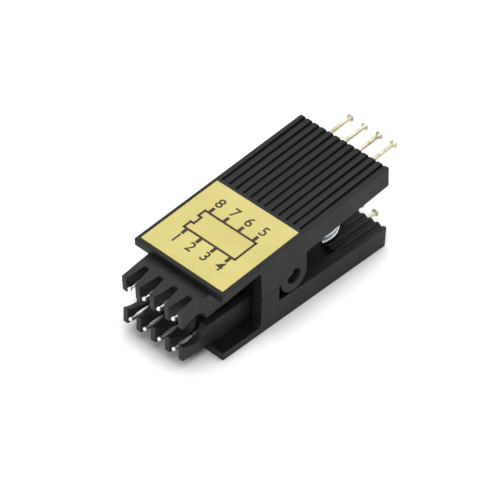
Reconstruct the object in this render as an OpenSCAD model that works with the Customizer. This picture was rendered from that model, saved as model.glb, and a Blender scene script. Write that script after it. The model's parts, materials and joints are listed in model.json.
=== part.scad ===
// Spring-loaded test clip for an eight-lead dual-in-line chip.
// Two identical moulded halves, one turned over on the other, rock on a steel pin. Each half holds
// a comb with four wire contacts. The wires run back through the handle and end in nail-head posts.
// A coil spring between the handles keeps the combs closed. Millimetres, +Z up.
// The nose points along -X and the posts along +X. The origin lies on the outer face of the lower
// half, straight below the pin.

/* [Halves] */
// Width across both sides
body_w = 15.4; // [14.8:0.1:18]
// Pin to the front edge of the nose plate
nose_len = 12.9; // [12:0.1:15]
// Pin to the rear end of the handle
tail_len = 18.3; // [17:0.1:24]
// Outer face to the pin's axis
pivot_h = 6.15; // [5.9:0.05:7]
// Thickness of the nose plate
plate_t = 1.2; // [1:0.05:1.4]
// Thickness of the handle at its rear end
tail_t = 3.2; // [2.9:0.05:3.5]
// Radius of the handle's outer rear corner
heel_r = 0.35; // [0.2:0.05:1.4]
// Radius of the handle's inner rear corner
lip_r = 0.25; // [0.1:0.05:0.5]
// Radius of the handle's upright rear corners
corner_r = 0.3; // [0.2:0.05:0.8]
// Radius of the fillets where a side wall meets the plate and the handle
fillet_r = 0.4; // [0.2:0.05:0.6]
// Length of the open side window behind the nose edge
window_len = 6.9; // [5.5:0.1:7.4]
// Thickness of a side wall
wall_t = 1.6; // [1.2:0.1:1.8]
// Angle between the halves when the clip is closed, in degrees
closed_tilt = 4.8; // [3:0.1:6]

/* [Hinge] */
// Radius of the pivot pin
pin_r = 1.1; // [0.9:0.05:1.3]
// Radial play of the pin in the lugs
pin_play = 0.05; // [0.02:0.01:0.1]
// How far each end of the pin lies below the side face
pin_recess = 0.8; // [0.4:0.1:1]
// Radius of a hinge lug
lug_r = 2.4; // [2:0.05:2.6]
// Gap between a lug and the face that it turns over
lug_gap = 0.15; // [0.1:0.05:0.3]
// Sideways gap between two lugs
side_gap = 0.1; // [0.05:0.05:0.2]
// Length of the stop block along the side
stop_len = 3.3; // [2.5:0.1:3.4]
// Gap that each stop face leaves when the clip is closed
stop_gap = 0.02; // [0.01:0.01:0.05]

/* [Handle grooves] */
// Number of grooves on each face
groove_count = 12; // [8:1:12]
// Spacing of the grooves
groove_pitch = 1.23; // [1.1:0.01:1.25]
// Width of an outer groove
groove_w = 0.45; // [0.3:0.05:0.6]
// Depth of an outer groove
groove_d = 0.4; // [0.2:0.05:0.6]
// Length of the smooth outer face behind the nose edge
smooth_len = 15.1; // [14.6:0.1:16]
// Radius of the rounded inner grooves
flute_r = 0.4; // [0.3:0.05:0.5]
// Length of the fluted stretch at the rear of the inner face
flute_len = 8.5; // [5:0.5:9]

/* [Comb] */
// Spacing of the leads and of the contacts
pitch = 2.54; // [2.3:0.01:2.6]
// Contacts in each half
contact_count = 4; // [4:1:4]
// Width of the comb
comb_w = 10.7; // [10.2:0.1:11.4]
// How far the teeth stand out past the nose edge
tooth_len = 4.8; // [4.4:0.1:6]
// Width of a slot at its closed end
slot_w = 0.8; // [0.7:0.05:1]
// Plastic left behind each slot, as far as the nose edge
slot_web = 1.7; // [1.2:0.1:2.2]
// Width of an inner tooth at its tip
tooth_tip_w = 0.8; // [0.4:0.05:1]
// Width of an outer tooth at its tip
end_tooth_tip_w = 0.78; // [0.6:0.02:1]
// Inward slope of an outer tooth's side over its length
end_tooth_draft = 0.08; // [0:0.02:0.2]
// Depth of the comb's block, from the outer face of the half
block_z = 4.85; // [4.5:0.05:5]
// Least depth of a tooth, from the outer face of the half
tooth_z = 3.17; // [3:0.05:3.5]
// Radius of the hollow behind a tooth's root
root_r = 1.5; // [1.2:0.1:1.8]
// Radius of the long hollow along a tooth
tooth_hollow_r = 5.2; // [4:0.1:8]
// Slope of the teeth away from the outer face, over their length
tooth_drop = 0.25; // [0.1:0.05:0.5]
// Gap between the comb's rear end and the handle
comb_gap = 0.05; // [0.02:0.01:0.1]

/* [Contacts] */
// Diameter of the contact wire
wire_d = 0.56; // [0.5:0.02:0.64]
// Outer face of the half to the wire's axis
wire_z = 2; // [1.9:0.05:2.05]
// Play of the wire in its hole, all round
wire_play = 0.04; // [0.02:0.01:0.06]
// Length of the upper posts behind the handle
upper_post = 5.4; // [3:0.1:8]
// Length of the lower posts behind the handle
lower_post = 2.3; // [1.5:0.1:8]
// Diameter of a post's head
head_d = 1.15; // [0.9:0.05:1.4]
// Thickness of a post's head
head_t = 0.3; // [0.2:0.05:0.5]
// Length of the cone under a head
head_cone = 0.35; // [0.2:0.05:0.6]
// Radius of the round contact tip
tip_r = 0.3; // [0.25:0.01:0.35]
// Nose edge to the centre of the contact tip
tip_len = 4.87; // [4.2:0.01:5.2]
// Outer face of the half to the contact tip
tip_z = 2.75; // [2.4:0.05:2.9]
// Outer face of the half to the contact leaf at its bend
bend_z = 2.95; // [2.8:0.05:3.3]
// Nose edge to the bend
bend_len = 0.8; // [0.5:0.1:1.2]
// Length of the wire's step up to the bend
step_len = 2.2; // [1.6:0.1:3]
// Widest part of the flattened leaf
leaf_w = 0.64; // [0.5:0.02:0.78]
// Width of the leaf at its neck
neck_w = 0.34; // [0.3:0.02:0.5]
// Thickness of the leaf
leaf_t = 0.26; // [0.2:0.02:0.34]

/* [Spring] */
// Pin to the spring's axis
spring_x = 11.5; // [10.8:0.1:12.5]
// Outer radius of the spring
spring_r = 4.05; // [3:0.05:4.3]
// Diameter of the spring wire
spring_wire = 0.52; // [0.4:0.02:0.6]
// Number of turns, with the close one at each end
spring_turns = 5; // [4.5:0.25:5.5]
// Rise of the close turn at each end
end_pitch = 0.75; // [0.6:0.05:0.9]
// Direction of the lower wire end, in degrees about the spring's axis
spring_start = -112; // [-180:1:180]
// Outer face of the half to the spring's seat
seat_z = 2.6; // [2.55:0.05:2.8]
// Gap round the spring in its seat
seat_gap = 0.35; // [0.2:0.05:0.5]
// Pin to the front of the hollow between the handles
hollow_x = 3.3; // [2.8:0.1:5]

/* [Label] */
// Side edges to the label
label_margin = 0.58; // [0.3:0.02:1]
// Nose edge to the label
label_front = 0.6; // [0.3:0.1:1]
// Smooth strip left behind the label
label_rear = 0.6; // [0.3:0.1:1]
// Thickness of the label
label_t = 0.1; // [0.05:0.01:0.2]

/* [Hidden] */
$fn = 48;
eps = 0.01;

half_w = body_w / 2;
wall_x = window_len - nose_len;
stop_slope = tan(closed_tilt / 2);
rail_h = pivot_h - lug_r - lug_gap;
tail_slope = (rail_h - tail_t) / tail_len;
comb_rear = wall_x + 1.4;
handle_x = comb_rear + comb_gap;
groove_x = smooth_len - nose_len;
flute_x = tail_len - flute_len;
bore_r = pin_r + pin_play;
wire_r = wire_d / 2;
wire_hole_r = wire_r + wire_play;
bend_swell = wire_play / 2;
tooth_x = -nose_len - tooth_len;
slot_x = -nose_len - slot_web;
root_x = slot_x - 0.5;
tip_x = -nose_len - tip_len;
bend_x = -nose_len - bend_len;
step_x = bend_x + step_len;
seat_gap_h = 2 * (pivot_h - seat_z);
coil_r = spring_r - spring_wire / 2;

plastic = [0.20, 0.20, 0.21];
comb_plastic = [0.25, 0.25, 0.27];
nickel = [0.85, 0.82, 0.70];
steel = [0.72, 0.74, 0.76];
gold = [0.90, 0.84, 0.50];

// ---- helpers ----

// Height of the handle's inner face, which falls evenly to the rear end
function inner_z(x) = rail_h - tail_slope * x;

// Height of the stop plane, which passes through the pin's axis
function stop_z(x) = pivot_h + stop_slope * x - stop_gap;

// Points of an arc about a centre, from angle a0 to a1
function arc(centre, r, a0, a1, steps = 8) = [
    for (i = [0:steps])
        let (a = a0 + (a1 - a0) * i / steps)
        centre + r * [cos(a), sin(a)]
];

// Places along the width of things that repeat at a spacing
function row(count, spacing) = [for (i = [0:count - 1]) (i - (count - 1) / 2) * spacing];

// A side outline (X, Z), given thickness from y0 to y1
module across(y0, y1) {
    translate([0, y1, 0]) rotate([90, 0, 0]) linear_extrude(y1 - y0) children();
}

// A round bar along X
module bar(x0, x1, r) {
    translate([x0, 0, 0]) rotate([0, 90, 0]) cylinder(h = x1 - x0, r = r);
}

// Puts the upper half in place: turned over about the pin, with its rear end raised
module upper() {
    translate([0, 0, pivot_h])
        rotate([0, -closed_tilt, 0])
        rotate([180, 0, 0])
        translate([0, 0, -pivot_h])
        children();
}

// ---- moulded half ----

// Nose plate and handle, seen from the side
module shell_outline() {
    polygon(concat(
        [[-nose_len, 0]],
        arc([tail_len - heel_r, heel_r], heel_r, -90, 0),
        arc([tail_len - lip_r, tail_t - lip_r], lip_r, 0, 90, 4),
        [[handle_x, inner_z(handle_x)], [handle_x, plate_t], [-nose_len, plate_t]]
    ));
}

// Fillet in a corner that opens towards side (1 or -1) along X
module fillet(x, z, side) {
    difference() {
        translate([side > 0 ? x - eps : x - fillet_r, z - eps]) square(fillet_r + eps);
        translate([x + side * fillet_r, z + fillet_r]) circle(fillet_r);
    }
}

// Side wall that ends in a round lug about the pin
module lug_wall_outline() {
    polygon([
        [wall_x, 0], [lug_r, 0], [lug_r, pivot_h], [0, pivot_h - stop_gap], [wall_x, stop_z(wall_x)]
    ]);
    translate([0, pivot_h]) circle(lug_r);
    fillet(wall_x, plate_t, -1);
    fillet(lug_r, inner_z(lug_r), 1);
}

// Block that the other half's side wall closes on
module stop_outline() {
    stop_end = wall_x + stop_len;
    polygon([[wall_x, 0], [stop_end, 0], [stop_end, stop_z(stop_end)], [wall_x, stop_z(wall_x)]]);
    fillet(wall_x, plate_t, -1);
}

// Round lug that stands inside the other half's side wall
module inner_lug_outline() {
    translate([-lug_r, 0]) square([2 * lug_r, pivot_h]);
    translate([0, pivot_h]) circle(lug_r);
}

// Round seat for the spring, open to a hollow in front
module spring_hollow() {
    depth = rail_h;
    translate([spring_x, 0, seat_z]) cylinder(h = depth, r = spring_r + seat_gap);
    translate([hollow_x, wall_t - half_w, seat_z])
        cube([flute_x - hollow_x, body_w - 2 * wall_t, depth]);
}

module outer_grooves() {
    for (y = row(groove_count, groove_pitch))
        translate([groove_x, y - groove_w / 2, -eps])
            cube([tail_len - groove_x + eps, groove_w, groove_d + eps]);
}

module inner_flutes() {
    for (y = row(groove_count, groove_pitch))
        translate([flute_x, y, inner_z(flute_x)])
            rotate([0, atan(tail_slope), 0])
            bar(0, flute_len + 1, flute_r);
}

// The half seen from above, with rounded rear corners
module shell_plan() {
    corner_y = half_w - corner_r;
    polygon(concat(
        [[-nose_len, -half_w]],
        arc([tail_len - corner_r, -corner_y], corner_r, -90, 0, 5),
        arc([tail_len - corner_r, corner_y], corner_r, 0, 90, 5),
        [[-nose_len, half_w]]
    ));
}

module half_body() {
    inner_lug_y = half_w - wall_t - side_gap;
    color(plastic) difference() {
        union() {
            intersection() {
                across(-half_w, half_w) shell_outline();
                linear_extrude(pivot_h) shell_plan();
            }
            across(half_w - wall_t, half_w) lug_wall_outline();
            across(-half_w, wall_t - half_w) stop_outline();
            across(-inner_lug_y, wall_t - inner_lug_y) inner_lug_outline();
        }
        translate([0, 0, pivot_h]) rotate([90, 0, 0])
            cylinder(h = body_w + 2, r = bore_r, center = true);
        for (y = row(contact_count, pitch))
            translate([0, y, wire_z]) bar(handle_x - 1, tail_len + 1, wire_hole_r);
        spring_hollow();
        outer_grooves();
        inner_flutes();
    }
}

// ---- comb ----

// Block and teeth seen from the side, hollowed on the inner face
module comb_outline() {
    hollow_z = tooth_z + root_r;
    difference() {
        polygon([
            [tooth_x, plate_t + tooth_drop], [-nose_len, plate_t], [comb_rear, plate_t],
            [comb_rear, block_z], [tooth_x, block_z]
        ]);
        translate([root_x, hollow_z]) circle(root_r);
        intersection() {
            translate([root_x, tooth_z + tooth_hollow_r]) circle(tooth_hollow_r, $fn = 96);
            translate([tooth_x - 1, 0]) square([root_x - tooth_x + 1, block_z + 1]);
        }
        translate([tooth_x - 1, hollow_z]) square([root_x + root_r - tooth_x + 1, block_z]);
    }
}

// Tooth seen from above, between its two edges at the root and at the tip
module tooth_plan(root_edges, tip_edges) {
    fused_x = slot_x + slot_web / 2;
    polygon([
        [fused_x, root_edges[0]], [fused_x, root_edges[1]], [slot_x, root_edges[1]],
        [tooth_x, tip_edges[1]], [tooth_x, tip_edges[0]], [slot_x, root_edges[0]]
    ]);
}

// Block and its tapered teeth, seen from above
module comb_plan() {
    inner_root = (pitch - slot_w) / 2;
    inner_tip = tooth_tip_w / 2;
    end_root = (contact_count - 1) / 2 * pitch + slot_w / 2;
    end_side = comb_w / 2;
    end_tip = end_side - end_tooth_draft;
    translate([slot_x, -end_side]) square([comb_rear - slot_x, comb_w]);
    for (y = row(contact_count - 1, pitch))
        tooth_plan([y - inner_root, y + inner_root], [y - inner_tip, y + inner_tip]);
    tooth_plan([end_root, end_side], [end_tip - end_tooth_tip_w, end_tip]);
    tooth_plan([-end_side, -end_root], [-end_tip, end_tooth_tip_w - end_tip]);
}

module comb() {
    channel_w = 2 * wire_hole_r;
    color(comb_plastic) difference() {
        intersection() {
            linear_extrude(block_z) comb_plan();
            across(-comb_w / 2, comb_w / 2) comb_outline();
        }
        for (y = row(contact_count, pitch))
            translate([slot_x - eps, y - channel_w / 2, wire_z - wire_hole_r])
                cube([comb_rear - slot_x + 1, channel_w, block_z]);
    }
}

// ---- contacts ----

// Round wire from one bend (X, Z) to another, a little thicker in the bends
module bent_wire(from, to) {
    run = to - from;
    translate([from[0], 0, from[1]]) rotate([0, atan2(run[0], run[1]), 0])
        cylinder(h = norm(run), r = wire_r, $fn = 24);
    for (bend = [from, to])
        translate([bend[0], 0, bend[1]]) sphere(wire_r + bend_swell, $fn = 24);
}

// Flattened spring leaf, from the bend to the round tip
module leaf() {
    bend = [bend_x, bend_z];
    tip = [tip_x, tip_z];
    run = tip - bend;
    length = norm(run);
    translate([bend[0], 0, bend[1]]) rotate([0, atan2(-run[1], run[0]), 0])
        translate([0, 0, -leaf_t / 2]) linear_extrude(leaf_t) polygon([
            [0, -neck_w / 2], [0.45 * length, -leaf_w / 2], [0.6 * length, -leaf_w / 2],
            [0.85 * length, -neck_w / 2], [length, -neck_w / 2],
            [length, neck_w / 2], [0.85 * length, neck_w / 2],
            [0.6 * length, leaf_w / 2], [0.45 * length, leaf_w / 2], [0, neck_w / 2]
        ]);
}

// One contact: nail-head post, straight wire, step, leaf and tip
module contact(post) {
    head_x = tail_len + post;
    wire_end = head_x - head_t - head_cone;
    color(nickel) {
        translate([step_x, 0, wire_z]) rotate([0, 90, 0]) rotate_extrude($fn = 24) polygon([
            [0, 0], [wire_r, 0], [wire_r, wire_end - step_x], [head_d / 2, head_x - head_t - step_x],
            [head_d / 2, head_x - step_x], [0, head_x - step_x]
        ]);
        bent_wire([step_x, wire_z], [bend_x, bend_z]);
        leaf();
        translate([tip_x, 0, tip_z]) sphere(tip_r, $fn = 24);
    }
}

// Contact by number, from one side of its half to the other
module numbered_contact(number, post) {
    translate([0, row(contact_count, pitch)[number - 1], 0]) contact(post);
}

// ---- hinge pin, spring and label ----

module pivot_pin() {
    length = body_w - 2 * pin_recess;
    chamfer = 0.15;
    color(steel) translate([0, -length / 2, pivot_h]) rotate([-90, 0, 0]) rotate_extrude() polygon([
        [0, 0], [pin_r - chamfer, 0], [pin_r, chamfer],
        [pin_r, length - chamfer], [pin_r - chamfer, length], [0, length]
    ]);
}

// Height of the wire's axis above the lower seat, after a number of turns. The end turns are close.
function coil_h(turn) =
    let (open_pitch = (seat_gap_h - spring_wire - 2 * end_pitch) / (spring_turns - 2))
    spring_wire / 2
        + end_pitch * (min(turn, 1) + max(turn - spring_turns + 1, 0))
        + open_pitch * min(max(turn - 1, 0), spring_turns - 2);

// Leans a point of the straight spring, so that both end turns lie flat on their seats
function lean(p) =
    let (a = closed_tilt * (p[2] - seat_z) / seat_gap_h, dz = p[2] - pivot_h)
    [p[0] * cos(a) - dz * sin(a), p[1], pivot_h + p[0] * sin(a) + dz * cos(a)];

// Points round the wire after a number of turns
function coil_ring(turn, sides) =
    let (around = spring_start + 360 * turn, h = seat_z + coil_h(turn))
    [
        for (i = [0:sides - 1])
            let (a = 360 * i / sides, r = coil_r + spring_wire / 2 * cos(a))
            lean([spring_x + r * cos(around), r * sin(around), h + spring_wire / 2 * sin(a)])
    ];

module spring() {
    sides = 8;
    steps_per_turn = 24;
    rings = round(spring_turns * steps_per_turn);
    points = [for (k = [0:rings]) each coil_ring(k / steps_per_turn, sides)];
    walls = [
        for (k = [0:rings - 1], i = [0:sides - 1])
            let (next = (i + 1) % sides)
            [k * sides + i, k * sides + next, (k + 1) * sides + next, (k + 1) * sides + i]
    ];
    first = [for (i = [0:sides - 1]) sides - 1 - i];
    last = [for (i = [0:sides - 1]) rings * sides + i];
    color(steel) polyhedron(points, concat(walls, [first, last]));
}

module label() {
    length = smooth_len - label_front - label_rear;
    color(gold) translate([label_front - nose_len, label_margin - half_w, -label_t])
        cube([length, body_w - 2 * label_margin, label_t]);
}

// ---- nodes ----

half_body();  // lower_body
upper() half_body();  // upper_body
comb();  // lower_comb
upper() comb();  // upper_comb
numbered_contact(1, lower_post);  // lower_contact_1
numbered_contact(2, lower_post);  // lower_contact_2
numbered_contact(3, lower_post);  // lower_contact_3
numbered_contact(4, lower_post);  // lower_contact_4
upper() numbered_contact(1, upper_post);  // upper_contact_1
upper() numbered_contact(2, upper_post);  // upper_contact_2
upper() numbered_contact(3, upper_post);  // upper_contact_3
upper() numbered_contact(4, upper_post);  // upper_contact_4
pivot_pin();
spring();
upper() label();
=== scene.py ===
# %% [markdown]
# # A test clip for an eight-lead chip
# This lesson dresses a finished CAD model. The clip is two moulded halves on a steel pin, a comb
# insert in each half, eight formed wire contacts, a coil spring and a gold label. We could model
# everything again, but then the looks and the motion might disagree. So the CAD model is loaded as
# a fixed frame, in metres, and each piece below takes its place from it.

# %% Load the frame
import json
import math

import bmesh
import bpy
from mathutils import Matrix, Vector


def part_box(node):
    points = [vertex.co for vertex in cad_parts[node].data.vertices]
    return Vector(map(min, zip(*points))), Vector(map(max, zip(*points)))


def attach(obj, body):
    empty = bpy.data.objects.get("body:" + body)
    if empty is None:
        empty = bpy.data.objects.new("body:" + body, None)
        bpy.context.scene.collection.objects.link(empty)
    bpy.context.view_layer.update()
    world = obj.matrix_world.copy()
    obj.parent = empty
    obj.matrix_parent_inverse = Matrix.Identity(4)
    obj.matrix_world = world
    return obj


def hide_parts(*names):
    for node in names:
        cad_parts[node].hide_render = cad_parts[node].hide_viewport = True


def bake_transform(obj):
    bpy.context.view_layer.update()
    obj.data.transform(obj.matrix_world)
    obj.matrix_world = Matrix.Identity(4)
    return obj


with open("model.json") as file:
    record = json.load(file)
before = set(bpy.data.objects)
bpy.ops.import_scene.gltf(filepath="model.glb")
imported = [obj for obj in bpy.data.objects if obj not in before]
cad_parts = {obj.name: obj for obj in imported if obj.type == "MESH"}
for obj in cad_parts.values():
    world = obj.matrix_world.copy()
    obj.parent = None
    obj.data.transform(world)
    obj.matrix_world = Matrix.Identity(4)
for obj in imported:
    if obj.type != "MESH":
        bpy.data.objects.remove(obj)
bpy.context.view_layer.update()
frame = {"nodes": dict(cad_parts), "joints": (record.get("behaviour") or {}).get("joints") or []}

# %% [markdown]
# ## The camera
# A small product is usually shot with a long lens from well above the bench, which keeps its edges
# nearly parallel. A camera can be aimed with a Track To constraint or with a matrix. The matrix is
# used here, because this camera also leans by a few degrees, and a matrix holds that lean.

# %% Place the camera
MM = 0.001


def mm(x, y, z):
    """A point given in millimetres, in metres."""
    return Vector((x, y, z)) * MM


def add_object(name, data):
    """A new object of the scene, at the origin."""
    made = bpy.data.objects.new(name, data)
    bpy.context.scene.collection.objects.link(made)
    return made


azimuth, elevation, lean = (math.radians(a) for a in (-49.02, 41.34, 2.93))
looks_at, distance = mm(4.1, 0, 6), 352.6 * MM
aim_right, aim_up = -0.00803, -0.00605  # shares of the distance, past the point it looks at
lens_length, sensor_width = 196.3, 36

forward = Vector((
    -math.sin(azimuth) * math.cos(elevation),
    math.cos(azimuth) * math.cos(elevation),
    -math.sin(elevation),
))
stands_at = looks_at - distance * forward
level_right = forward.cross(Vector((0, 0, 1))).normalized()
level_up = level_right.cross(forward)
right = math.cos(lean) * level_right + math.sin(lean) * level_up
up = math.cos(lean) * level_up - math.sin(lean) * level_right
forward = (forward + aim_right * right + aim_up * up).normalized()
right = forward.cross(up).normalized()
up = right.cross(forward)

camera = add_object("camera", bpy.data.cameras.new("camera"))
camera.data.lens, camera.data.sensor_width = lens_length, sensor_width
camera.data.clip_start, camera.data.clip_end = 0.01, 10
turn = Matrix((right, up, -forward)).transposed().to_4x4()
camera.matrix_world = Matrix.Translation(stands_at) @ turn
bpy.context.scene.camera = camera
print("camera stands at, mm:", [round(c / MM, 1) for c in stands_at])

# %% [markdown]
# ## Helpers for material nodes
# A procedural material is a small network of nodes. Adding and linking each node by hand takes many
# lines, so these helpers make a material with its shader, add a node with its settings, and feed an
# output into the shader. A value that is the same all over a piece is set on the shader's own
# socket, because that is where an exported model keeps it.

# %% Make a finish and its nodes
def new_finish(name, **shader_values):
    """A material with a Principled shader, and the values set on the shader's own sockets."""
    finish = bpy.data.materials.new(name)
    finish.use_nodes = True
    shader = finish.node_tree.nodes["Principled BSDF"]
    for socket, value in shader_values.items():
        shader.inputs[socket.replace("_", " ")].default_value = value
    return finish, shader


def node(finish, kind, settings=(), **inputs):
    """A new node. An input is a value or another node's output, and _0 is the first socket."""
    made = finish.node_tree.nodes.new("ShaderNode" + kind)
    for setting, value in dict(settings).items():
        setattr(made, setting, value)
    for socket, value in inputs.items():
        target = made.inputs[int(socket[1:])] if socket[1:].isdigit() else made.inputs[socket]
        if isinstance(value, bpy.types.NodeSocket):
            finish.node_tree.links.new(value, target)
        else:
            target.default_value = value
    return made


def drive(finish, shader, socket, value):
    """Feeds a node's output into one of the shader's sockets."""
    finish.node_tree.links.new(value, shader.inputs[socket])


# %% [markdown]
# ## Patterns that every finish uses
# Grain, flecks, tarnish and handling marks are all noise of some size. They could be painted by
# hand, but noise needs no file and stays sharp from close by. It reads Object coordinates, so it sticks to a
# piece that moves. A noise seldom leaves the range from 0.35 to 0.65, so it is stretched before it
# mixes two colours or sets a roughness.

# %% Noise, ranges, mixes and bump
NOISE_LOW, NOISE_HIGH = 0.35, 0.65


def object_noise(finish, grain, detail=2.0, roughness=0.5, packed=None):
    """Noise whose grain is that many metres across. Packed squeezes it along X, Y and Z."""
    place = node(finish, "TexCoord").outputs["Object"]
    if packed:
        place = node(finish, "Mapping", Vector=place, Scale=packed).outputs["Vector"]
    noise = node(
        finish, "TexNoise", Vector=place, Scale=1 / grain, Detail=detail, Roughness=roughness
    )
    return noise.outputs["Fac"]


def remap(finish, value, low, high, to_low, to_high):
    """The value stretched from one range to another, and held inside it."""
    return node(
        finish, "MapRange", _0=value, _1=low, _2=high, _3=to_low, _4=to_high
    ).outputs[0]


def spread(finish, noise, to_low, to_high):
    """A noise stretched from its usual range to another one."""
    return remap(finish, noise, NOISE_LOW, NOISE_HIGH, to_low, to_high)


def mixed_colour(finish, share, first, second):
    """The first colour at share 0 and the second at share 1."""
    mix = node(finish, "Mix", {"data_type": "RGBA"}, Factor=share)
    for socket, colour in ((mix.inputs["A"], first), (mix.inputs["B"], second)):
        if isinstance(colour, bpy.types.NodeSocket):
            finish.node_tree.links.new(colour, socket)
        else:
            socket.default_value = (*colour, 1)
    return mix.outputs["Result"]


def add_bump(finish, shader, height, depth):
    """Bump whose height of 1 stands that many metres proud."""
    bump = node(finish, "Bump", Strength=1.0, Distance=depth, Height=height)
    drive(finish, shader, "Normal", bump.outputs["Normal"])


# %% [markdown]
# ## Moulded plastic
# The halves are black glass-filled nylon from a spark-eroded mould: a fine even grain, a soft sheen,
# and tiny pale flecks where fibre lies at the skin. One flat dark colour would look like a hole in
# the scene. Two noises do the work: a fine one is the mould's grain in the bump, and a rarer one
# lifts a few flecks in the colour. A third, broad and weak, is the handling that dulls the sheen.

# %% Plastic finishes
mould_grain, mould_depth = 0.16 * MM, 0.012 * MM
fleck_size, fleck_brightness = 0.21 * MM, 5
fleck_starts, fleck_full, fleck_cover = 0.66, 0.78, 0.8
handling_size = 5 * MM


def moulded_plastic(name, dark, pale, gloss, sheen):
    """A grained plastic between two colours. Sheen is its lowest and highest roughness."""
    finish, shader = new_finish(name, Specular_IOR_Level=gloss, IOR=1.5)
    handling = object_noise(finish, handling_size)
    tone = mixed_colour(finish, spread(finish, handling, 0, 1), dark, pale)
    flecks = object_noise(finish, fleck_size, detail=1)
    fleck_share = remap(finish, flecks, fleck_starts, fleck_full, 0, fleck_cover)
    fleck_colour = tuple(c * fleck_brightness for c in pale)
    tone = mixed_colour(finish, fleck_share, tone, fleck_colour)
    drive(finish, shader, "Base Color", tone)
    drive(finish, shader, "Roughness", spread(finish, handling, *sheen))
    grain = object_noise(finish, mould_grain, detail=3, roughness=0.6)
    add_bump(finish, shader, grain, mould_depth)
    return finish


body_nylon = moulded_plastic(
    "body_nylon",
    dark=(0.0060, 0.0060, 0.0063), pale=(0.0090, 0.0090, 0.0094), gloss=0.24, sheen=(0.46, 0.56),
)
comb_nylon = moulded_plastic(
    "comb_nylon",
    dark=(0.0240, 0.0228, 0.0234), pale=(0.0310, 0.0296, 0.0304), gloss=0.20, sheen=(0.42, 0.52),
)
print("plastics:", body_nylon.name, comb_nylon.name)

# %% [markdown]
# ## Soft edges on a CAD shape
# The moulded halves and the combs are already true in CAD, but every edge there is perfectly sharp,
# and a real moulding never is. We could model a fillet on each edge in CAD. A copy of the mesh with
# a Bevel modifier is lighter. The copy's loose triangles are merged and joined to flat faces first,
# and a Weighted Normal modifier keeps the big faces flat beside the small round ones. The ridges of
# the grip are rounder than the other edges, so their rims get a wider bevel of their own.

# %% Round the edges of a copy
same_place = 0.001 * MM
flat_within, edge_from = math.radians(0.5), math.radians(34)
shortest_rim, longest_rim, inside_side_faces = 15 * MM, 17 * MM, 7.2 * MM


def round_edges(bm, edges, radius, segments):
    """Bevels those edges to a round."""
    bmesh.ops.bevel(
        bm, geom=edges, offset=radius, segments=segments, profile=0.5, affect="EDGES", material=-1
    )


def round_ridges(bm, radius):
    """Rounds the long straight rims of the grip's outer grooves."""
    rims = [
        e for e in bm.edges
        if shortest_rim < e.calc_length() < longest_rim and e.is_convex
        and all(abs(v.co.y) < inside_side_faces for v in e.verts)
    ]
    round_edges(bm, rims, radius, 3)
    print(len(rims), "ridge rims rounded")


def finished_copy(cad_node, piece_name, edge_radius, ridge_radius=None):
    """A merged copy of a CAD node with its edges rounded."""
    mesh = frame["nodes"][cad_node].data.copy()
    mesh.name = piece_name
    if "custom_normal" in mesh.attributes:
        mesh.attributes.remove(mesh.attributes["custom_normal"])
    bm = bmesh.new()
    bm.from_mesh(mesh)
    bmesh.ops.remove_doubles(bm, verts=bm.verts, dist=same_place)
    bmesh.ops.dissolve_limit(bm, angle_limit=flat_within, verts=bm.verts, edges=bm.edges)
    if ridge_radius:
        round_ridges(bm, ridge_radius)
    bm.to_mesh(mesh)
    bm.free()
    mesh.materials.clear()
    mesh.shade_smooth()
    piece = add_object(piece_name, mesh)
    edge = piece.modifiers.new("soft_edges", "BEVEL")
    edge.width, edge.segments = edge_radius, 2
    edge.limit_method, edge.angle_limit = "ANGLE", edge_from
    edge.use_clamp_overlap = False
    piece.modifiers.new("flat_faces", "WEIGHTED_NORMAL")
    return piece


# %% [markdown]
# ## The halves and the combs
# The clip is two copies of one moulding, and each holds a comb of slightly paler plastic. Each new
# piece hides the CAD node that it stands for and rides on the same body, so it moves with the hinge.
# The pieces could be parented by hand, but attach does it, with one empty for each body.

# %% Dress the halves and combs
def dress(piece, finish, body=None, stands_for=()):
    """Gives a piece its finish, the CAD nodes that it stands for and its body."""
    piece.data.materials.append(finish)
    if stands_for:
        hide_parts(*stands_for)
    if body:
        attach(piece, body)
    print(piece.name, "has", len(piece.data.polygons), "faces")


body_edge, ridge_edge, comb_edge = 0.07 * MM, 0.20 * MM, 0.05 * MM
for half in ("lower", "upper"):
    shell = finished_copy(half + "_body", half + "_moulding", body_edge, ridge_edge)
    dress(shell, body_nylon, half + "_half", (half + "_body",))
    insert = finished_copy(half + "_comb", half + "_insert", comb_edge)
    dress(insert, comb_nylon, half + "_half", (half + "_comb",))

# %% [markdown]
# ## Lofting with bmesh
# A wire, a spring and a formed contact are all one section carried along a path. Blender's curves
# can sweep a round section, but not one that flattens on its way. So a ring starts as a circle, and
# each step extrudes its edge and moves the new ring to the next station. A station is a matrix:
# where the ring stands, how wide and how thick it is.

# %% Loft helpers
def station(centre, along, across, half_width, half_thickness):
    """Matrix that puts a unit circle on a station of the path."""
    along = along.normalized()
    across = (across - across.dot(along) * along).normalized()
    thick = along.cross(across)
    ring = Matrix((across * half_width, thick * half_thickness, along * half_width)).transposed()
    return Matrix.Translation(centre) @ ring.to_4x4()


def mesh_from(bm, name):
    """The finished bmesh as a new mesh."""
    mesh = bpy.data.meshes.new(name)
    bm.to_mesh(mesh)
    bm.free()
    return mesh


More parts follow.
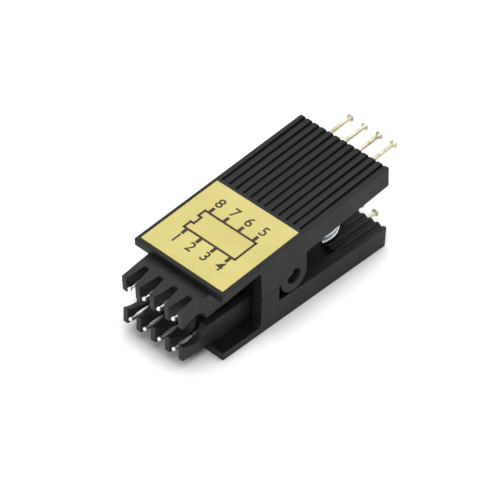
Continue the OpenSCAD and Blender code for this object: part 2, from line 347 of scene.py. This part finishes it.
def loft(name, stations, sides):
    """A closed skin through the stations, with flat ends."""
    bm = bmesh.new()
    bmesh.ops.create_circle(bm, segments=sides, radius=1, matrix=stations[0])
    ring = list(bm.edges)
    bmesh.ops.edgeloop_fill(bm, edges=ring)
    before = stations[0]
    for after in stations[1:]:
        grown = bmesh.ops.extrude_edge_only(bm, edges=ring)["geom"]
        verts = [g for g in grown if isinstance(g, bmesh.types.BMVert)]
        ring = [
            g for g in grown
            if isinstance(g, bmesh.types.BMEdge) and all(v in verts for v in g.verts)
        ]
        bmesh.ops.transform(bm, matrix=after @ before.inverted(), verts=verts)
        before = after
    bmesh.ops.edgeloop_fill(bm, edges=ring)
    bmesh.ops.recalc_face_normals(bm, faces=bm.faces)
    mesh = mesh_from(bm, name)
    mesh.shade_smooth()
    mesh.set_sharp_from_angle(angle=math.radians(38))
    return mesh


# %% [markdown]
# ## Steel for the pin and the spring
# The pin is steel of a dark tint, and the spring has a bright zinc plating.
# Metals differ mostly in their colour and in how they blur a reflection. A glossy shader alone would
# look like chrome, so each metal has two tints with a patchy film between them, a roughness that
# wanders with the film, and a fine drawn grain in the bump.

# %% Steel finishes
film_size, film_starts, film_full = 0.9 * MM, 0.42, 0.66


def patchy_film(finish):
    """A metal's patchy noise, and the share of its surface that the film covers."""
    patches = object_noise(finish, film_size, detail=3, roughness=0.6)
    return patches, remap(finish, patches, film_starts, film_full, 0, 1)


def drawn_steel(name, bright, dull, sheen, grain, depth):
    """Steel between two tints. Sheen is its lowest and highest roughness."""
    finish, shader = new_finish(name, Metallic=1.0)
    patches, film = patchy_film(finish)
    drive(finish, shader, "Base Color", mixed_colour(finish, film, bright, dull))
    drive(finish, shader, "Roughness", spread(finish, patches, *sheen))
    add_bump(finish, shader, object_noise(finish, grain), depth)
    return finish


# The pin's steel is given a dark tint.
dark_steel = drawn_steel(
    "dark_steel",
    bright=(0.16, 0.16, 0.165), dull=(0.07, 0.07, 0.075), sheen=(0.34, 0.5),
    grain=0.12 * MM, depth=0.006 * MM,
)
zinc_steel = drawn_steel(
    "zinc_steel",
    bright=(0.86, 0.91, 0.95), dull=(0.66, 0.71, 0.76), sheen=(0.22, 0.34),
    grain=0.1 * MM, depth=0.003 * MM,
)
print("steels:", dark_steel.name, zinc_steel.name)

# %% [markdown]
# ## Plated wire for the contacts
# The contacts are bronze wire under nickel with a warm cast. The leaf in the jaws is painted almost
# white, a painted highlight for the light that reaches into the jaws, and the post behind the handle
# has a dull brass tarnish. Two materials would meet in a hard line on one wire. So one material blends
# the two looks by how far back the metal lies, which its Object X tells.

# %% Contact finish
leaf_light_until, tarnished_from = 0, 18 * MM


def formed_wire(name):
    """Plated wire, painted bright at the jaws as a painted highlight, and tarnished at the posts."""
    finish, shader = new_finish(name, Metallic=0.85)
    place = node(finish, "TexCoord").outputs["Object"]
    along = node(finish, "SeparateXYZ", Vector=place).outputs["X"]
    leaf_light_to_post_tarnish = remap(finish, along, leaf_light_until, tarnished_from, 0, 1)
    film = patchy_film(finish)[1]
    # The leaf's near-white tint is a painted highlight for the light in the jaws.
    painted_bright_leaf = mixed_colour(finish, film, (0.95, 0.93, 0.86), (0.80, 0.77, 0.68))
    handled = mixed_colour(finish, film, (0.66, 0.62, 0.46), (0.36, 0.33, 0.21))
    drive(finish, shader, "Base Color", mixed_colour(finish, leaf_light_to_post_tarnish, painted_bright_leaf, handled))
    drive(finish, shader, "Roughness", remap(finish, film, 0, 1, 0.34, 0.50))
    add_bump(finish, shader, object_noise(finish, 0.08 * MM), 0.004 * MM)
    return finish


nickel_wire = formed_wire("nickel_wire")
print("contacts:", nickel_wire.name)

# %% [markdown]
# ## Sizes that the pieces share
# The lower half's box gives the places of the nose and the tail, and the hinge gives the height of
# the pin. The leads of such a chip are 2.54 mm apart. The upper half is the lower one turned over
# about the pin and tilted by the angle of the closed jaws. We could measure the upper half as well,
# but one matrix that makes an upper piece out of a lower one keeps the two alike.

# %% Read the frame and turn a half over
nose, tail = (corner[0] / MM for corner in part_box("lower_body"))
pin_height = frame["joints"][0]["pos_m"][2] / MM
closed_tilt = math.radians(4.8)
lead_spacing = 2.54
turned_over = (
    Matrix.Translation(mm(0, 0, pin_height))
    @ Matrix.Rotation(-closed_tilt, 4, "Y")
    @ Matrix.Rotation(math.pi, 4, "X")
    @ Matrix.Translation(mm(0, 0, -pin_height))
)
halves = {"lower": Matrix.Identity(4), "upper": turned_over}
print("nose, tail and pin height, mm:", round(nose, 3), round(tail, 3), round(pin_height, 3))

# %% [markdown]
# ## The posts
# Behind the handle each wire ends in a nail head that holds a test hook: a low crown, a short
# straight rim and a cone down to the wire. A cylinder and a disc would leave a hard step where the
# real head is drawn out of the wire. So head and wire are one loft, listed as sections. Each section
# has its place in the wire's own plane, its half width and its half thickness, in millimetres.

# %% Sections of the nail head
wire_radius, wire_depth = 0.28, 2.0
head_radius, head_thickness, head_cone = 0.575, 0.3, 0.35


def nail_head(length):
    """Sections from the crown of the head to the straight wire."""
    end = tail + length
    crown = ((0, 0.275), (0.03, 0.135), (0.09, 0.025), (0.15, 0), (0.23, 0.01), (0.30, 0.045))
    neck = ((0.25, 0.42), (0.55, 0.34), (1.0, wire_radius))
    sections = [(end - back, head_radius - narrower) for back, narrower in crown]
    sections += [(end - head_thickness - share * head_cone, radius) for share, radius in neck]
    return [(Vector((x, wire_depth)), radius, radius) for x, radius in sections]


print("a head, mm:", [(round(place.x, 2), round(r, 3)) for place, r, _ in nail_head(0)])

# %% [markdown]
# ## The leaf and the ball
# In front the wire steps inwards, is pressed flat into a spring leaf, narrows to a neck and ends in
# a ball that lands on the chip's lead. It could be three pieces laid end to end, but the real one is
# a single wire, so its sections go on in the same list. The two bends are soft, as pliers leave them.

# %% Sections of the leaf and the ball
step_start, bend, tip = (nose + 1.4, wire_depth), (nose - 0.8, 2.95), (nose - 4.87, 2.75)
bend_reach, bend_steps, ball_radius = 0.7, 6, 0.3
leaf_sections = (
    (0.12, 0.20, 0.13), (0.25, 0.255, 0.13), (0.38, 0.30, 0.13), (0.50, 0.32, 0.13),
    (0.60, 0.315, 0.13), (0.70, 0.27, 0.13), (0.78, 0.20, 0.135), (0.83, 0.165, 0.14),
    (0.87, 0.16, 0.15),
)
ball_angles = (-58, -40, -20, 0, 20, 40, 60, 75, 86)


def soft_bend(before, corner, after):
    """Points of a bend that leaves and joins the straight runs at the bend's reach."""
    before, corner, after = Vector(before), Vector(corner), Vector(after)
    start = corner + (before - corner).normalized() * bend_reach
    end = corner + (after - corner).normalized() * bend_reach
    shares = [i / bend_steps for i in range(bend_steps + 1)]
    return [(1 - s) ** 2 * start + 2 * s * (1 - s) * corner + s * s * end for s in shares]


def formed_front():
    """Sections of the step, the leaf, the neck and the ball."""
    straight_run = (step_start[0] + 3, wire_depth)
    rows = [(p, wire_radius, wire_radius) for p in soft_bend(straight_run, step_start, bend)]
    flattening = soft_bend(step_start, bend, tip)
    for i, place in enumerate(flattening):
        share = i / bend_steps
        rows.append((place, wire_radius - 0.10 * share, wire_radius - 0.15 * share))
    start, end = flattening[-1], Vector(tip)
    rows += [(start.lerp(end, share), width, thick) for share, width, thick in leaf_sections]
    run = (end - start).normalized()
    for angle in ball_angles:
        around = math.radians(angle)
        radius = ball_radius * math.cos(around)
        rows.append((end + run * ball_radius * math.sin(around), radius, radius))
    return rows


print("the front has", len(formed_front()), "sections")

# %% [markdown]
# ## The eight contacts
# Eight wires share two shapes: the upper posts are longer than the lower ones. Each is lofted in the
# middle plane, moved to its place at the lead spacing, and turned over if it is an upper one. Linked
# copies would save memory, but every piece here has its place in its own mesh.

# %% Loft and place the contacts
post_lengths = {"lower": 2.3, "upper": 5.4}


def contact_mesh(name, post_length):
    """One wire in the middle plane, from its head to its ball."""
    rows = nail_head(post_length) + formed_front()
    stations = []
    for i, (place, width, thickness) in enumerate(rows):
        ahead = rows[min(i + 1, len(rows) - 1)][0] - rows[max(i - 1, 0)][0]
        along = Vector((ahead.x, 0, ahead.y))
        centre = mm(place.x, 0, place.y)
        sideways = Vector((0, 1, 0))
        stations.append(station(centre, along, sideways, width * MM, thickness * MM))
    return loft(name, stations, 20)


for half, length in post_lengths.items():
    for number in range(1, 5):
        name = f"{half}_wire_{number}"
        mesh = contact_mesh(name, length)
        mesh.transform(halves[half] @ Matrix.Translation(mm(0, (number - 2.5) * lead_spacing, 0)))
        stands_for = (f"{half}_contact_{number}",)
        dress(add_object(name, mesh), nickel_wire, half + "_half", stands_for)

# %% [markdown]
# ## The pivot pin
# A ground steel pin joins the halves. Its ends lie a little below the side faces, so only a dark
# disc shows in each bore. A cylinder primitive would end in two flat discs with sharp rims. The pin
# is a body of revolution, so its outline is drawn once from the axis outwards and spun: a shallow
# dimple left by cropping, a flat, a rolled edge and the shank.

# %% Spin the pin
pin_radius, pin_half_length = (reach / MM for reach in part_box("pivot_pin")[1][:2])
pin_end = (
    (0, 0.12), (0.35, 0.08), (0.62, 0), (0.88, 0.01), (1.02, 0.06), (1.08, 0.14),
    (pin_radius, 0.24),
)
profile = [(radius, pin_half_length - down) for radius, down in pin_end]
profile += [(radius, down - pin_half_length) for radius, down in reversed(pin_end)]

bm = bmesh.new()
points = [bm.verts.new(mm(radius, y, pin_height)) for radius, y in profile]
edges = [bm.edges.new(pair) for pair in zip(points, points[1:])]
bmesh.ops.spin(
    bm, geom=points + edges, cent=mm(0, 0, pin_height), axis=(0, 1, 0),
    angle=2 * math.pi, steps=48, use_merge=True,
)
bmesh.ops.remove_doubles(bm, verts=bm.verts, dist=same_place)
bmesh.ops.recalc_face_normals(bm, faces=bm.faces)
pin_mesh = mesh_from(bm, "hinge_pin")
pin_mesh.shade_smooth()
dress(add_object("hinge_pin", pin_mesh), dark_steel, "lower_half", ("pivot_pin",))

# %% [markdown]
# ## The path of the spring
# A compression spring pushes the handles apart, and its end turns close up to sit flat. A Screw
# modifier makes a helix of one pitch only, so the path is worked out here: it rises slowly in the
# first and last turn and quickly between them. It also leans with its height, because the upper seat
# is tilted while the jaws are closed.

# %% Points of the coil
seat_height, seat_gap, spring_x = 2.6, 7.1, 11.5
coil_radius, spring_wire, turns, end_rise = 3.79, 0.26, 5, 0.75
first_end = math.radians(-112)


def rise(turn):
    """Height of the wire above the lower seat after a number of turns."""
    open_rise = (seat_gap - 2 * spring_wire - 2 * end_rise) / (turns - 2)
    closed = min(turn, 1) + max(turn - turns + 1, 0)
    return spring_wire + end_rise * closed + open_rise * min(max(turn - 1, 0), turns - 2)


def coil_point(turn):
    """A point of the wire's axis, on a coil that leans with its height."""
    around, height = first_end + 2 * math.pi * turn, rise(turn)
    tilt = closed_tilt * height / seat_gap
    x, z = spring_x + coil_radius * math.cos(around), seat_height + height - pin_height
    return mm(
        x * math.cos(tilt) - z * math.sin(tilt),
        coil_radius * math.sin(around),
        pin_height + x * math.sin(tilt) + z * math.cos(tilt),
    )


print("the spring rises, mm:", [round(rise(turn), 2) for turn in range(turns + 1)])

# %% [markdown]
# ## The spring
# The wire's round section is lofted along that path. The spring has to shorten when the handles are
# squeezed, and riding on one half it would poke through the other, so it is left on neither half.

# %% Loft the spring
steps_per_turn, look_ahead = 36, 0.01
stations = []
for i in range(turns * steps_per_turn + 1):
    turn = i / steps_per_turn
    along = coil_point(turn + look_ahead) - coil_point(turn - look_ahead)
    stations.append(
        station(coil_point(turn), along, Vector((0, 0, 1)), spring_wire * MM, spring_wire * MM)
    )
spring = add_object("handle_spring", loft("handle_spring", stations, 14))
dress(spring, zinc_steel, stands_for=("spring",))
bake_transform(spring)

# %% [markdown]
# ## Gold film
# The label is printed brass-coloured film. It is a plastic with a metal look, so it is only a little
# metallic: a true metal shader would go dark wherever it mirrors something dark. A broad noise
# shifts the tone, and a noise packed nine times closer along Y is the fine brushed grain.

# %% Film finish
def gold_film(name):
    """Satin gold with a broad change of tone and a brushed grain."""
    finish, shader = new_finish(name, Metallic=0.25, Specular_IOR_Level=0.4)
    cloud = object_noise(finish, 7 * MM)
    tone = mixed_colour(finish, spread(finish, cloud, 0, 1), (0.70, 0.60, 0.20), (0.65, 0.55, 0.165))
    brushed = object_noise(finish, 0.5 * MM, detail=3, packed=(1, 9, 1))
    grain = remap(finish, brushed, 0.3, 0.7, 0, 0.35)
    drive(finish, shader, "Base Color", mixed_colour(finish, grain, tone, (0.78, 0.70, 0.30)))
    drive(finish, shader, "Roughness", spread(finish, cloud, 0.34, 0.44))
    add_bump(finish, shader, brushed, 0.002 * MM)
    return finish


satin_gold = gold_film("satin_gold")
print("film:", satin_gold.name)

# %% [markdown]
# ## The label
# The sticker covers the smooth front of the upper half. A single plane would have no edge to catch
# the light, so the sheet is a cube flattened to 0.1 mm, with its corners and its upper rim bevelled.
# It is made on the lower half's face, and then turned over as every upper piece is.

# %% Cut the label
label_front, label_rear, label_half_width, label_thickness = nose + 0.6, 1.6, 7.12, 0.1
label_middle = (label_front + label_rear) / 2
corner_radius, rim_radius = 0.15 * MM, 0.025 * MM
label_size = mm(label_rear - label_front, 2 * label_half_width, label_thickness)

bm = bmesh.new()
bmesh.ops.create_cube(bm, size=1, matrix=Matrix.Diagonal((*label_size, 1)))
upright = [e for e in bm.edges if abs((e.verts[0].co - e.verts[1].co).z) > 0.01 * MM]
round_edges(bm, upright, corner_radius, 4)
shown_rim = [e for e in bm.edges if all(v.co.z < 0 for v in e.verts)]
round_edges(bm, shown_rim, rim_radius, 2)
bmesh.ops.translate(bm, vec=mm(label_middle, 0, -label_thickness / 2), verts=bm.verts)
bmesh.ops.transform(bm, matrix=turned_over, verts=bm.verts)
label = add_object("gold_label", mesh_from(bm, "gold_label"))
dress(label, satin_gold, "upper_half", ("label",))

# %% [markdown]
# ## Ways to print
# The print is a chip outline and lead numbers. It could be painted by the label's shader, but digits
# are hard to draw with nodes. Text made into a mesh is simpler and stays sharp. So the ink is a
# separate piece, a hundredth of a millimetre thick. It is drawn on a flat plan, upright to read, and
# one matrix lays the plan on the label.

# %% Printed bars and numbers
ink_thickness, stroke_gain = 0.012, 0.02 * MM
to_label = turned_over @ Matrix(
    ((0, 1, 0, label_middle * MM), (1, 0, 0, 0), (0, 0, -1, -label_thickness * MM), (0, 0, 0, 1))
)
ink = bmesh.new()


def ink_bar(x, y, width, height):
    """A printed bar about a centre of the plan."""
    place = Matrix.Translation(mm(x, y, ink_thickness / 2))
    size = Matrix.Diagonal((width * MM, height * MM, ink_thickness * MM, 1))
    bmesh.ops.create_cube(ink, size=1, matrix=place @ size)


def ink_number(text, x, y, height):
    """A printed number about a centre of the plan."""
    curve = bpy.data.curves.new("number", "FONT")
    curve.body, curve.size = text, height * MM
    curve.align_x, curve.align_y = "CENTER", "CENTER"
    curve.extrude, curve.offset = ink_thickness / 2 * MM, stroke_gain
    holder = add_object("number", curve)
    bpy.context.view_layer.update()
    mesh = bpy.data.meshes.new_from_object(holder)
    mesh.transform(Matrix.Translation(mm(x, y, ink_thickness / 2)))
    ink.from_mesh(mesh)
    bpy.data.objects.remove(holder)
    bpy.data.curves.remove(curve)
    bpy.data.meshes.remove(mesh)


# %% [markdown]
# ## The print on the label
# The print tells which post belongs to which lead: the outline of a chip with its notch and eight
# leads, and the plain lead numbers, which run round the chip against the clock. The outline could be
# one closed curve, but it is only straight strokes, so bars that overlap at the corners will do.

# %% Draw the chip and its lead numbers
chip_half_length, chip_half_width, line = 4.6, 2.1, 0.34
lead_width, lead_length, notch = 0.5, 0.9, 0.7
number_height, number_distance = 2.3, 1.95

for side in (-1, 1):
    ink_bar(0, side * (chip_half_width - line / 2), 2 * chip_half_length, line)
    for place in range(4):
        lead_x = (place - 1.5) * lead_spacing
        ink_bar(lead_x, side * (chip_half_width + lead_length / 2), lead_width, lead_length)
        number = place + 1 if side < 0 else 8 - place
        ink_number(str(number), lead_x, side * (chip_half_width + number_distance), number_height)
    beside_notch = (chip_half_width + notch) / 2
    ink_bar(line / 2 - chip_half_length, side * beside_notch, line, chip_half_width - notch)
    ink_bar(notch / 2 - chip_half_length, side * notch, notch, line)
ink_bar(chip_half_length - line / 2, 0, line, 2 * chip_half_width)
ink_bar(notch - chip_half_length, 0, line, 2 * notch + line)

bmesh.ops.remove_doubles(ink, verts=ink.verts, dist=same_place / 2)
bmesh.ops.transform(ink, matrix=to_label, verts=ink.verts)
bmesh.ops.recalc_face_normals(ink, faces=ink.faces)
label_print = add_object("label_print", mesh_from(ink, "label_print"))
print("print, mm:", [round(side / MM, 2) for side in label_print.dimensions])

# %% [markdown]
# ## Ink
# Screen ink on film is matt, dark brown rather than black, and a little thin in places. Plain black
# would look cut out of the label. A fine noise lightens the ink here and there, as if some gold
# showed through.

# %% Ink finish
label_ink, ink_shader = new_finish("label_ink", Roughness=0.55, Specular_IOR_Level=0.3)
screen_noise = object_noise(label_ink, 0.3 * MM, detail=3, roughness=0.6)
thin_spots = remap(label_ink, screen_noise, 0.5, 0.75, 0, 0.5)
ink_tone = mixed_colour(label_ink, thin_spots, (0.045, 0.032, 0.018), (0.20, 0.15, 0.07))
drive(label_ink, ink_shader, "Base Color", ink_tone)
add_bump(label_ink, ink_shader, object_noise(label_ink, 0.2 * MM), 0.003 * MM)
dress(label_print, label_ink, "upper_half")

# %% [markdown]
# ## White that doesn't light the clip
# The floor and the walls have to look white. If they shone that brightly, they would wash the clip
# out and fill its shadow. A Light Path node knows what is looking: the camera, a reflection or a
# clear surface is shown the white, and everything else gets plain light.

# %% Tell who is looking
def direct_view(owner):
    """1 where the camera, a reflection or a clear surface looks, and 0 for plain light."""
    rays = node(owner, "LightPath").outputs
    most = {"operation": "MAXIMUM"}
    shiny = node(owner, "Math", most, _0=rays["Is Camera Ray"], _1=rays["Is Glossy Ray"])
    return node(
        owner, "Math", most, _0=shiny.outputs[0], _1=rays["Is Transmission Ray"]
    ).outputs[0]


# %% [markdown]
# ## The floor
# The clip lies on white paper that shows no horizon, only the soft dark pool where the clip keeps
# the light off. A floor that glows all over would lose that pool. So the paper is plain and pale,
# and gets a little more light in direct view alone. An Ambient Occlusion node takes that extra light
# away close to the clip, so the shadow there is partly real and partly painted shadow.

# %% Lay the floor
floor_radius, paper_white, paper_lift = 3, 0.86, 0.56
shadow_reach, deep_shadow, open_paper = 5 * MM, 0.35, 0.9

bm = bmesh.new()
bmesh.ops.create_circle(bm, cap_ends=True, segments=96, radius=floor_radius)
floor = add_object("floor", mesh_from(bm, "floor"))

paper, paper_shader = new_finish(
    "paper",
    Base_Color=(paper_white, paper_white, paper_white, 1), Emission_Color=(1, 1, 1, 1),
    Roughness=0.9, Specular_IOR_Level=0.0,
)
# Close to the clip the occlusion paints a darker shadow on the paper, over the real one.
painted_shadow_occlusion = node(paper, "AmbientOcclusion", {"samples": 16}, Distance=shadow_reach).outputs["AO"]
lift = remap(paper, painted_shadow_occlusion, deep_shadow, open_paper, 0, paper_lift)
seen_lift = node(paper, "Math", {"operation": "MULTIPLY"}, _0=direct_view(paper), _1=lift)
drive(paper, paper_shader, "Emission Strength", seen_lift.outputs[0])
floor.data.materials.append(paper)
print("floor, m across:", 2 * floor_radius)

# %% [markdown]
# ## The lamps
# A product table has one broad lamp overhead, a softer one towards the side that faces the camera,
# and here a third that reaches into the jaws. Powers in watts are hard to guess for lamps of
# different sizes and distances. So a lamp's power is worked out from the share of full light that it
# gives a white sheet at the clip, and all the shares, with the walls' own, come to about 1.

# %% Hang the lamps
def soft_lamp(name, place, width, share):
    """A square lamp aimed at the clip, with its place and width in metres."""
    lamp = bpy.data.lights.new(name, "AREA")
    lamp.shape, lamp.size = "SQUARE", width
    place = Vector(place)
    lamp.energy = share * math.pi ** 2 * place.length_squared
    aimed = place.to_track_quat("Z", "Y").to_matrix().to_4x4()
    add_object(name, lamp).matrix_world = Matrix.Translation(place) @ aimed
    print(name, "gives", share, "with", round(lamp.energy, 2), "W")


soft_lamp("lamp_overhead", place=(0.16, 0.14, 0.50), width=0.42, share=0.34)
soft_lamp("lamp_front", place=(-0.06, -0.16, 0.52), width=0.30, share=0.16)
soft_lamp("lamp_jaws", place=(-0.50, -0.14, 0.30), width=0.20, share=0.24)

# %% [markdown]
# ## The walls
# Pale walls stand all round a product table, and the world takes their part. Real walls would have
# to be modelled and lit. The world lights the clip weakly and evenly, and looks plain white to the
# camera and in the metal.

# %% Light the walls
wall_light, wall_white = 0.24, 1.0
world = bpy.data.worlds.new("walls")
bpy.context.scene.world = world
world.use_nodes = True
sky = world.node_tree.nodes["Background"]
sky.inputs["Color"].default_value = (1, 1, 1, 1)
brightness = remap(world, direct_view(world), 0, 1, wall_light, wall_white)
drive(world, sky, "Strength", brightness)
bpy.context.scene.view_settings.view_transform = "Standard"
print("the walls light with", wall_light, "and look like", wall_white)
